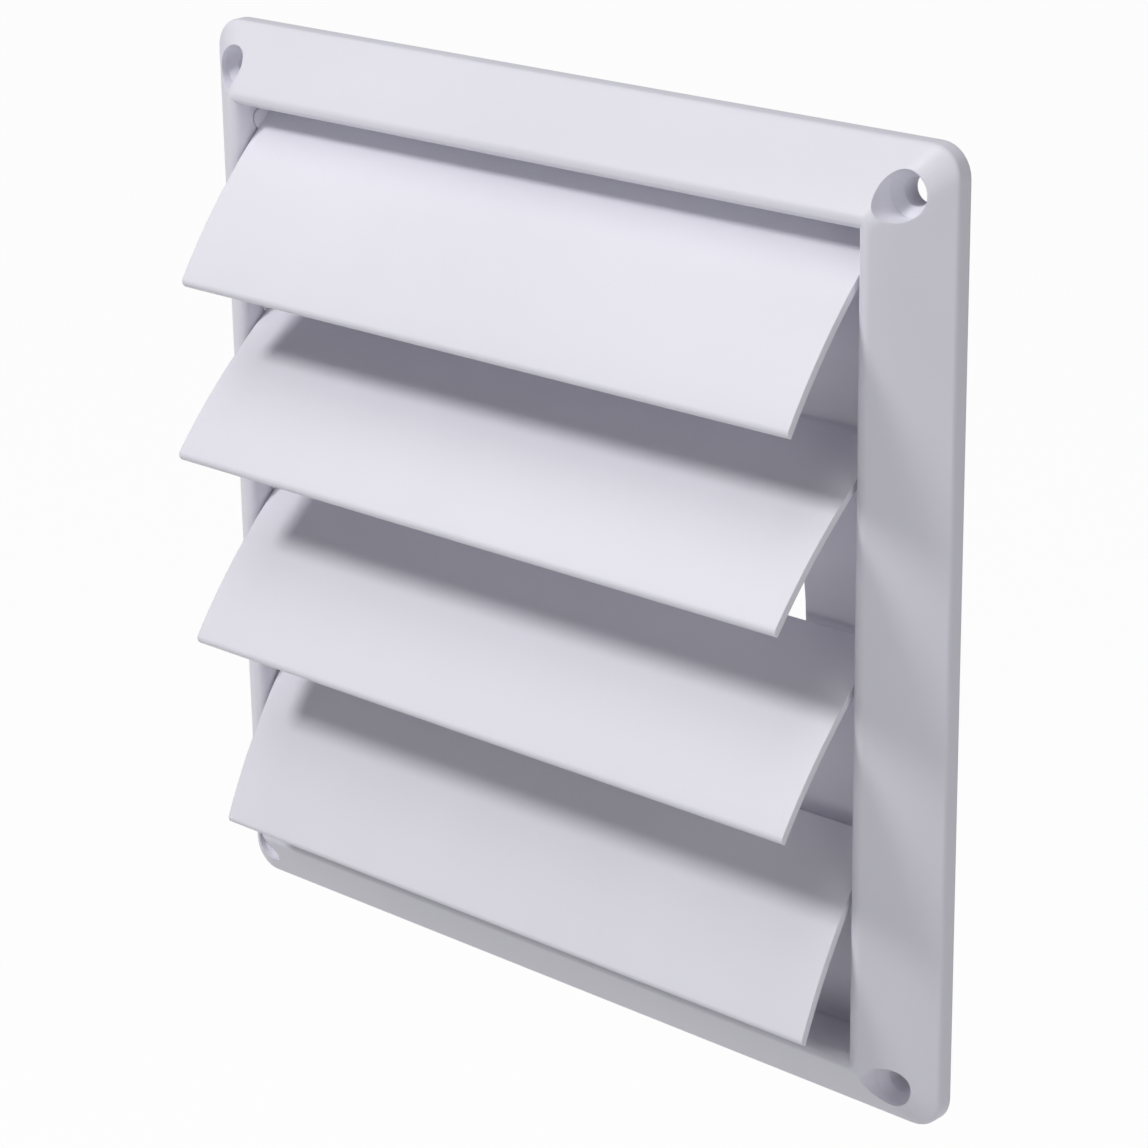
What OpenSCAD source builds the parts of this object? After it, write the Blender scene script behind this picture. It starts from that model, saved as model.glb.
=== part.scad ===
// Square louvred wall vent: a one-piece frame with a round duct collar behind it,
// and four cambered flaps that swing on pins moulded on their ends.
// Millimetres. The wall plane is y = 0, the front faces -Y, +Z is up.
// The origin is on the duct axis, in the wall plane.

/* [Frame] */
// Outer side of the square face
face_side = 154; // [140:1:180]
// Clear side of the square opening
opening_side = 129.6; // [122:0.1:134]
// Height of the upright rim at the outer edge
rim_height = 2.6; // [1.8:0.1:5]
// Rise of the rails above the wall plane, in degrees
rail_slope = 37.6; // [30:0.1:44]
// Plan radius of the four outer corners
corner_radius = 5; // [3:0.5:10]
// Plan radius of the soft crease where two rails meet at the lip
crease_radius = 2; // [1:0.5:4]
// Rounding where the rim turns into the rail
edge_radius = 1; // [0.4:0.1:1.6]
// Rounding of the lip round the opening
lip_radius = 1.5; // [0.8:0.1:2]
// Wall thickness of the rails and of the cheeks
skin = 1.5; // [1.2:0.1:2]
// Thickness of the back plate
plate_thickness = 1.2; // [1:0.1:2]

/* [Duct collar] */
// Outer diameter of the collar
collar_d = 100; // [80:1:104]
// Wall thickness of the collar
collar_wall = 1.2; // [1:0.1:2.5]
// Length of the collar behind the wall plane
collar_length = 32; // [15:1:60]

/* [Screw recesses] */
// Distance between screw axes, the same across and up
screw_pitch = 139.6; // [138.6:0.1:141]
// Through hole for the screw
screw_hole_d = 4.4; // [3.5:0.1:5]
// Recess for the screw head
recess_d = 7.2; // [6:0.1:8]
// Height of the recess floor above the wall plane
recess_floor = 3; // [2:0.1:4]

/* [Flaps] */
// Thickness of a flap
flap_thickness = 1.2; // [0.8:0.1:1.5]
// Radius of the flap's camber, measured at mid thickness
camber_radius = 110; // [90:1:300]
// Gap between a flap's end and the cheek beside it
side_gap = 0.6; // [0.5:0.05:1]
// Drop from the top of the opening to the uppermost pin axis
axle_drop = 2.9; // [2.6:0.1:4]
// Space left under the lowest flap
sill_gap = 1.1; // [0.5:0.1:4]
// Gap above each flap's tail
tail_gap = 0.35; // [0.3:0.05:0.8]
// Gap between a hanging flap's tip and the height of the next axis
tip_gap = 0.35; // [0.2:0.05:1]
// Rounding of the front edge at a flap's tip
tip_radius = 1; // [0.3:0.1:1.1]
// Opening of the first flap, in degrees from hanging straight
open_1 = 40.5; // [4:0.1:80]
// Opening of the second flap
open_2 = 47.2; // [4:0.1:80]
// Opening of the third flap
open_3 = 42.5; // [4:0.1:80]
// Opening of the fourth flap
open_4 = 31.2; // [4:0.1:80]

/* [Pins] */
// Distance of the pin axes in front of the wall plane
axle_depth = 5; // [4.6:0.1:5.6]
// Distance of the flap's front surface behind the pin axis
axle_lead = 0.3; // [0.2:0.05:0.5]
// Diameter of the pins
pin_d = 2.3; // [1.8:0.1:2.6]
// Radial clearance of a pin in its hole
pin_clearance = 0.05; // [0.02:0.01:0.1]
// Diameter of the shoulder at a pin's root
shoulder_d = 3.6; // [3.2:0.1:4.4]
// Thickness of the shoulder
shoulder_thickness = 0.4; // [0.2:0.05:0.45]
// Space left between a pin's end and the back of the cheek
pin_end_gap = 0.2; // [0.1:0.05:0.4]

/* [Hidden] */

face_half = face_side / 2;
opening_half = opening_side / 2;
rail_width = face_half - opening_half;
slope_rise = tan(rail_slope);
slope_cos = cos(rail_slope);
// centre of the rim's rounding, as distance from the middle and height
edge_x = face_half - edge_radius;
edge_h = rim_height - edge_radius * tan((90 - rail_slope) / 2);
// centre of the lip's rounding
lip_x = opening_half + lip_radius;
lip_h = rim_height + (rail_width - lip_radius) * slope_rise - lip_radius / slope_cos;
lip_top = lip_h + lip_radius;
// the cavity behind the rails
cavity_half = face_half - skin;
cavity_low = rim_height + skin * slope_rise - skin / slope_cos;
cheek_half = opening_half + skin;
cavity_top = rim_height + (rail_width - skin) * slope_rise - skin / slope_cos;

boss_d = recess_d + 2 * skin;
countersink_depth = (recess_d - screw_hole_d) / 2;

flap_count = 4;
flap_pitch = (opening_side - axle_drop - sill_gap) / flap_count;
flap_length = flap_pitch - tip_gap;
tail_length = axle_drop - tail_gap;
flap_half = opening_half - side_gap;
pin_end = cheek_half - pin_end_gap;
pin_hole_d = pin_d + 2 * pin_clearance;
first_axle_z = opening_half - axle_drop;
// camber circle in a flap's own section, from the pin axis
camber_z = -(flap_length - tail_length) / 2;
camber_y = axle_lead + sqrt(pow(camber_radius + flap_thickness / 2, 2) - camber_z * camber_z);
tip_centre_z = -flap_length + tip_radius;
tip_reach = camber_radius + flap_thickness / 2 - tip_radius;
tip_lean = asin((camber_z - tip_centre_z) / tip_reach);
tip_centre_y = camber_y - tip_reach * cos(tip_lean);

body_white = [0.93, 0.92, 0.95];
flap_white = [0.94, 0.93, 0.96];
slice = 0.01;

// corner points of a rounded square, at a height above the wall plane
corner_steps = 8;
function ring(half, radius, height) = [
    for (q = [0 : 3], i = [0 : corner_steps])
        let (
            sx = (q == 0 || q == 3) ? 1 : -1,
            sz = (q < 2) ? 1 : -1,
            turn = q * 90 + i * 90 / corner_steps
        )
            [
                sx * (half - radius) + radius * cos(turn),
                -height,
                sz * (half - radius) + radius * sin(turn)
            ]
];

// solid lofted through a list of rings, from the wall outwards
module loft(rings) {
    count = 4 * (corner_steps + 1);
    last = len(rings) - 1;
    polyhedron(
        points = [for (r = rings, p = r) p],
        faces = concat(
            [[for (i = [0 : count - 1]) i]],
            [[for (i = [count - 1 : -1 : 0]) last * count + i]],
            [
                for (j = [0 : last - 1], i = [0 : count - 1])
                    let (n = (i + 1) % count)
                        [j * count + i, (j + 1) * count + i, (j + 1) * count + n]
            ],
            [
                for (j = [0 : last - 1], i = [0 : count - 1])
                    let (n = (i + 1) % count)
                        [j * count + i, (j + 1) * count + n, j * count + n]
            ]
        )
    );
}

// plan radius at a distance from the middle, from corner to lip
function plan_radius(x) =
    crease_radius + (corner_radius - crease_radius) * (x - lip_x) / (face_half - lip_x);

// a block centred on the duct axis between two heights above the wall plane
module block(half, low, high) {
    translate([-half, -high, -half])
        cube([2 * half, high - low, 2 * half]);
}

// a cylinder along Y between two heights above the wall plane
module rod_y(d, low, high, facets) {
    translate([0, -low, 0])
        rotate([90, 0, 0])
            cylinder(d = d, h = high - low, $fn = facets);
}

// solid shape of the face, before the cavity and the opening
module face_body() {
    loft(concat(
        [ring(face_half, corner_radius, 0)],
        [
            for (a = [0 : (90 - rail_slope) / 4 : 90.01 - rail_slope])
                ring(edge_x + edge_radius * cos(a), corner_radius, edge_h + edge_radius * sin(a))
        ],
        [
            for (a = [90 - rail_slope : rail_slope / 4 : 90.01])
                ring(
                    lip_x + lip_radius * cos(a),
                    plan_radius(lip_x + lip_radius * cos(a)),
                    lip_h + lip_radius * sin(a)
                )
        ]
    ));
}

// space behind the rails, open at the wall
module rail_cavity() {
    difference() {
        loft([
            ring(cavity_half, corner_radius - skin, -1),
            ring(cavity_half, corner_radius - skin, cavity_low),
            ring(cheek_half, 0.5, cavity_top)
        ]);
        block(cheek_half, -2, lip_top);
        screw_positions()
            rod_y(boss_d, -2, lip_top + 2, 48);
    }
}

module screw_positions() {
    for (sx = [-1, 1], sz = [-1, 1])
        translate([sx * screw_pitch / 2, 0, sz * screw_pitch / 2])
            children();
}

// screw hole with a countersink and a round recess above it
module screw_recess() {
    translate([0, 1, 0])
        rotate([90, 0, 0])
            cylinder(d = screw_hole_d, h = recess_floor + 2, $fn = 48);
    translate([0, -recess_floor, 0])
        rotate([90, 0, 0])
            cylinder(d1 = screw_hole_d, d2 = recess_d, h = countersink_depth, $fn = 48);
    translate([0, -recess_floor - countersink_depth, 0])
        rotate([90, 0, 0])
            cylinder(d = recess_d, h = lip_top + 2, $fn = 48);
}

// cross-section of the opening where it flares over the rounded lip
module flare_section() {
    polygon(concat(
        [for (a = [180 : -15 : 90]) [lip_x + lip_radius * cos(a), lip_h + lip_radius * sin(a)]],
        [[lip_x, lip_top + 2], [-lip_x, lip_top + 2]],
        [for (a = [90 : 15 : 180]) [-lip_x - lip_radius * cos(a), lip_h + lip_radius * sin(a)]]
    ));
}

module lip_flare() {
    intersection() {
        translate([0, 0, -face_half])
            linear_extrude(height = face_side)
                mirror([0, 1])
                    flare_section();
        rotate([0, 90, 0])
            translate([0, 0, -face_half])
                linear_extrude(height = face_side)
                    mirror([0, 1])
                        flare_section();
    }
}

module frame() {
    color(body_white) {
        difference() {
            face_body();
            rail_cavity();
            block(opening_half, plate_thickness, lip_h + slice);
            lip_flare();
            screw_positions()
                screw_recess();
            rod_y(collar_d - 2 * collar_wall, -1, plate_thickness + 1, 180);
            for (k = [0 : flap_count - 1])
                translate([-cheek_half - 1, -axle_depth, first_axle_z - k * flap_pitch])
                    rotate([0, 90, 0])
                        cylinder(d = pin_hole_d, h = 2 * cheek_half + 2, $fn = 48);
        }
        difference() {
            rod_y(collar_d, -collar_length, plate_thickness, 180);
            rod_y(collar_d - 2 * collar_wall, -collar_length - 1, plate_thickness + 1, 180);
        }
    }
}

// one flap, hanging straight down from its pin axis at the origin
module flap_body() {
    difference() {
        intersection() {
            translate([-flap_half, camber_y, camber_z])
                rotate([0, 90, 0])
                    cylinder(r = camber_radius + flap_thickness / 2, h = 2 * flap_half, $fn = 360);
            translate([-flap_half, -flap_length / 2, -flap_length])
                cube([2 * flap_half, flap_length, flap_length + tail_length]);
        }
        translate([-flap_half - 1, camber_y, camber_z])
            rotate([0, 90, 0])
                cylinder(r = camber_radius - flap_thickness / 2, h = 2 * flap_half + 2, $fn = 360);
        tip_cutter();
    }
    for (side = [0, 1])
        mirror([side, 0, 0])
            pin();
}

// what is left outside the rounded front edge of the tip
module tip_cutter() {
    difference() {
        translate([flap_half + 1, tip_centre_y, tip_centre_z])
            rotate([90, 0, -90])
                linear_extrude(height = 2 * flap_half + 2)
                    polygon([
                        [0, 0],
                        [0, -3],
                        [3, -3],
                        [3 * cos(tip_lean), -3 * sin(tip_lean)]
                    ]);
        translate([-flap_half - 2, tip_centre_y, tip_centre_z])
            rotate([0, 90, 0])
                cylinder(r = tip_radius, h = 2 * flap_half + 4, $fn = 64);
    }
}

module pin() {
    translate([flap_half, 0, 0])
        rotate([0, 90, 0])
            cylinder(d = shoulder_d, h = shoulder_thickness, $fn = 48);
    translate([flap_half, 0, 0])
        rotate([0, 90, 0])
            cylinder(d = pin_d, h = pin_end - flap_half, $fn = 48);
}

module flap_at(index, opening) {
    color(flap_white)
        translate([0, -axle_depth, first_axle_z - index * flap_pitch])
            rotate([-opening, 0, 0])
                flap_body();
}

module flap_1() {
    flap_at(0, open_1);
}

module flap_2() {
    flap_at(1, open_2);
}

module flap_3() {
    flap_at(2, open_3);
}

module flap_4() {
    flap_at(3, open_4);
}

frame();
flap_1();
flap_2();
flap_3();
flap_4();
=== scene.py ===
import math

import bpy
from mathutils import Matrix, Vector

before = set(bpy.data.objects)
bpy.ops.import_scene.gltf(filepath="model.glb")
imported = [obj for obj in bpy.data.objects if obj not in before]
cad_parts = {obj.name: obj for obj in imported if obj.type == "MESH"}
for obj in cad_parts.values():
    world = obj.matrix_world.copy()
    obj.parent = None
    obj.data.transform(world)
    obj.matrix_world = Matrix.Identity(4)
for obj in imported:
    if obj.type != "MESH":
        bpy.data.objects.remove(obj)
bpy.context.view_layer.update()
MM = 0.001


# Node helpers
def new_material(name):
    mat = bpy.data.materials.new(name)
    mat.use_nodes = True
    mat.node_tree.nodes.clear()
    return mat, mat.node_tree


def add(tree, kind, **settings):
    node = tree.nodes.new(kind)
    for key, value in settings.items():
        setattr(node, key, value)
    return node


def noise(tree, coords, scale, detail=3.0, roughness=0.55):
    node = add(tree, "ShaderNodeTexNoise")
    node.inputs["Scale"].default_value = scale
    node.inputs["Detail"].default_value = detail
    node.inputs["Roughness"].default_value = roughness
    tree.links.new(coords, node.inputs["Vector"])
    return node.outputs["Fac"]


def spread(tree, value, low, high, from_low=0.3, from_high=0.7):
    node = add(tree, "ShaderNodeMapRange")
    node.inputs["From Min"].default_value = from_low
    node.inputs["From Max"].default_value = from_high
    node.inputs["To Min"].default_value = low
    node.inputs["To Max"].default_value = high
    tree.links.new(value, node.inputs["Value"])
    return node.outputs["Result"]


def plastic(name, colour, roughness):
    """Injection-moulded plastic: faint tone drift, fine peel, softly rounded edges."""
    mat, tree = new_material(name)
    link = tree.links.new
    out = add(tree, "ShaderNodeOutputMaterial")
    skin = add(tree, "ShaderNodeBsdfPrincipled")
    coords = add(tree, "ShaderNodeTexCoord").outputs["Object"]

    drift = noise(tree, coords, 22.0, 2.0)
    grain = noise(tree, coords, 900.0, 2.0)
    peel = noise(tree, coords, 320.0, 2.0)

    tone = add(tree, "ShaderNodeMix", data_type="RGBA")
    tone.inputs["A"].default_value = (*[c * 0.975 for c in colour], 1)
    tone.inputs["B"].default_value = (*colour, 1)
    link(spread(tree, drift, 0.0, 1.0), tone.inputs["Factor"])
    link(tone.outputs["Result"], skin.inputs["Base Color"])
    link(spread(tree, drift, roughness - 0.05, roughness + 0.05), skin.inputs["Roughness"])
    skin.inputs["IOR"].default_value = 1.49
    skin.inputs["Specular IOR Level"].default_value = 0.3
    skin.inputs["Subsurface Weight"].default_value = 0.12
    skin.inputs["Subsurface Radius"].default_value = (1.0, 0.9, 0.95)
    skin.inputs["Subsurface Scale"].default_value = 0.0008

    edge = add(tree, "ShaderNodeBevel", samples=6)
    edge.inputs["Radius"].default_value = 0.25 * MM
    low_bump = add(tree, "ShaderNodeBump")
    low_bump.inputs["Strength"].default_value = 0.12
    low_bump.inputs["Distance"].default_value = 0.05 * MM
    link(peel, low_bump.inputs["Height"])
    link(edge.outputs["Normal"], low_bump.inputs["Normal"])
    fine_bump = add(tree, "ShaderNodeBump")
    fine_bump.inputs["Strength"].default_value = 0.15
    fine_bump.inputs["Distance"].default_value = 0.02 * MM
    link(grain, fine_bump.inputs["Height"])
    link(low_bump.outputs["Normal"], fine_bump.inputs["Normal"])
    link(fine_bump.outputs["Normal"], skin.inputs["Normal"])
    link(skin.outputs["BSDF"], out.inputs["Surface"])
    return mat


# The part
FRAME_COLOUR = (0.80, 0.79, 0.865)
FLAP_COLOUR = (0.83, 0.82, 0.89)
frame_plastic = plastic("frame_plastic", FRAME_COLOUR, 0.46)
flap_plastic = plastic("flap_plastic", FLAP_COLOUR, 0.44)


def dress(name, material):
    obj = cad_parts[name]
    obj.data.materials.clear()
    obj.data.materials.append(material)
    for poly in obj.data.polygons:
        poly.material_index = 0
        poly.use_smooth = True
    weld = obj.modifiers.new("weld", "WELD")
    weld.merge_threshold = 0.002 * MM
    split = obj.modifiers.new("creases", "EDGE_SPLIT")
    split.split_angle = math.radians(24)


dress("frame", frame_plastic)
for k in range(1, 5):
    dress(f"flap_{k}", flap_plastic)


# Camera
AZIMUTH, ELEVATION, ROLL = (math.radians(a) for a in (43.0944, 19.7461, -0.8938))
TARGET = Vector((-0.0016 * 0.154, 0, -0.0294 * 0.154))
DISTANCE = 3.7490 * 0.154
LENS = 112.59

back = Vector((
    math.sin(AZIMUTH) * math.cos(ELEVATION),
    -math.cos(AZIMUTH) * math.cos(ELEVATION),
    math.sin(ELEVATION),
))
level = Vector((math.cos(AZIMUTH), math.sin(AZIMUTH), 0))
above = back.cross(level)
right = math.cos(ROLL) * level + math.sin(ROLL) * above
up = -math.sin(ROLL) * level + math.cos(ROLL) * above

cam_data = bpy.data.cameras.new("camera")
cam_data.lens = LENS
cam_data.sensor_width = 36
cam_data.clip_start = 0.01
camera = bpy.data.objects.new("camera", cam_data)
bpy.context.scene.collection.objects.link(camera)
camera.matrix_world = Matrix.Translation(TARGET + back * DISTANCE) @ Matrix((
    (right.x, up.x, back.x, 0),
    (right.y, up.y, back.y, 0),
    (right.z, up.z, back.z, 0),
    (0, 0, 0, 1),
))
bpy.context.scene.camera = camera


# Stage
def white_when_seen(tree, shade, amount):
    """Mixes in plain white for rays that come from the camera, glass or gloss."""
    link = tree.links.new
    path = add(tree, "ShaderNodeLightPath")
    seen = add(tree, "ShaderNodeMath", operation="MAXIMUM")
    link(path.outputs["Is Camera Ray"], seen.inputs[0])
    link(path.outputs["Is Transmission Ray"], seen.inputs[1])
    shiny = add(tree, "ShaderNodeMath", operation="MAXIMUM")
    link(seen.outputs[0], shiny.inputs[0])
    link(path.outputs["Is Glossy Ray"], shiny.inputs[1])
    share = add(tree, "ShaderNodeMath", operation="MULTIPLY")
    link(shiny.outputs[0], share.inputs[0])
    share.inputs[1].default_value = amount
    glow = add(tree, "ShaderNodeEmission")
    glow.inputs["Color"].default_value = (1, 1, 1, 1)
    glow.inputs["Strength"].default_value = 1.0
    mix = add(tree, "ShaderNodeMixShader")
    link(share.outputs[0], mix.inputs["Fac"])
    link(shade, mix.inputs[1])
    link(glow.outputs["Emission"], mix.inputs[2])
    return mix.outputs["Shader"]


# share of plain white in the floor as seen; the rest shows the shadow
FLOOR_WHITE = 0.97
floor_mat, tree = new_material("pale_floor")
matt = add(tree, "ShaderNodeBsdfDiffuse")
matt.inputs["Color"].default_value = (0.9, 0.9, 0.91, 1)
out = add(tree, "ShaderNodeOutputMaterial")
tree.links.new(white_when_seen(tree, matt.outputs["BSDF"], FLOOR_WHITE), out.inputs["Surface"])

FLOOR_Z = -0.42
bpy.ops.mesh.primitive_plane_add(size=8, location=(0, 0, FLOOR_Z))
floor = bpy.context.object
floor.name = "floor"
floor.data.materials.append(floor_mat)

world = bpy.data.worlds.new("studio")
bpy.context.scene.world = world
world.use_nodes = True
tree = world.node_tree
tree.nodes.clear()
sky = add(tree, "ShaderNodeBackground")
sky.inputs["Color"].default_value = (0.98, 0.985, 1, 1)
sky.inputs["Strength"].default_value = 0.14
seen = add(tree, "ShaderNodeBackground")
seen.inputs["Color"].default_value = (1, 1, 1, 1)
seen.inputs["Strength"].default_value = 1.0
path = add(tree, "ShaderNodeLightPath")
clear = add(tree, "ShaderNodeMath", operation="MAXIMUM")
tree.links.new(path.outputs["Is Camera Ray"], clear.inputs[0])
tree.links.new(path.outputs["Is Transmission Ray"], clear.inputs[1])
blend = add(tree, "ShaderNodeMixShader")
tree.links.new(clear.outputs[0], blend.inputs["Fac"])
tree.links.new(sky.outputs["Background"], blend.inputs[1])
tree.links.new(seen.outputs["Background"], blend.inputs[2])
out = add(tree, "ShaderNodeOutputWorld")
tree.links.new(blend.outputs["Shader"], out.inputs["Surface"])


def lamp(name, direction, distance, size, watts, colour=(1, 1, 1)):
    data = bpy.data.lights.new(name, "AREA")
    data.shape = "DISK"
    data.size = size
    data.energy = watts
    data.color = colour
    obj = bpy.data.objects.new(name, data)
    bpy.context.scene.collection.objects.link(obj)
    toward = Vector(direction).normalized()
    obj.location = toward * distance
    obj.rotation_euler = toward.to_track_quat("Z", "Y").to_euler()
    return obj


lamp("key", (-0.38, -0.65, 0.75), 1.6, 0.30, 12.9)
lamp("overhead", (0, -0.35, 1), 1.6, 1.2, 7.2)
lamp("side", (1, -0.35, 0.15), 1.6, 1.2, 5.2)

bpy.context.scene.view_settings.view_transform = "Standard"
